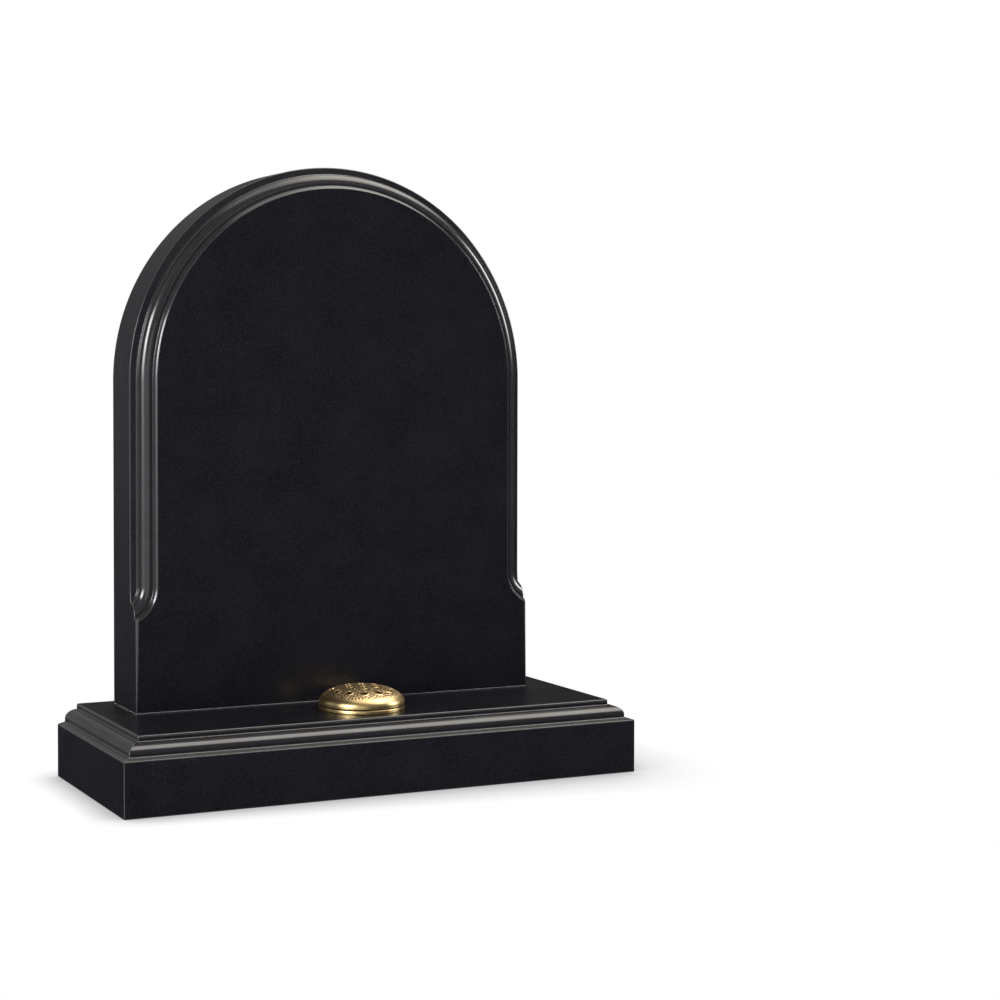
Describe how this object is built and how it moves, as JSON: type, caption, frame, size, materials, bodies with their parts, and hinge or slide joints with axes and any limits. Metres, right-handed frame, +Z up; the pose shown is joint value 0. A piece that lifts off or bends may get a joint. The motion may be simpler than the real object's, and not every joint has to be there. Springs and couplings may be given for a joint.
{
  "type": "headstone",
  "caption": "Round-topped polished black granite headstone with a moulded front edge, on a moulded base that holds a gold flower container with a pierced domed lid.",
  "frame": {"origin": "middle of the base's underside, on the ground", "axes": "+Z up, -Y towards the front, where the moulded face of the tablet and the flower container are, +X to the right seen from the front"},
  "size_m": [0.762, 0.3048, 0.8636],
  "materials": {
    "granite": "polished",
    "gold_metal": "bright gold anodised"
  },
  "bodies": {
    "root": {"base": "granite", "tablet": "granite", "flower_container": "gold_metal", "container_lid": "gold_metal"}
  },
  "joints": []
}
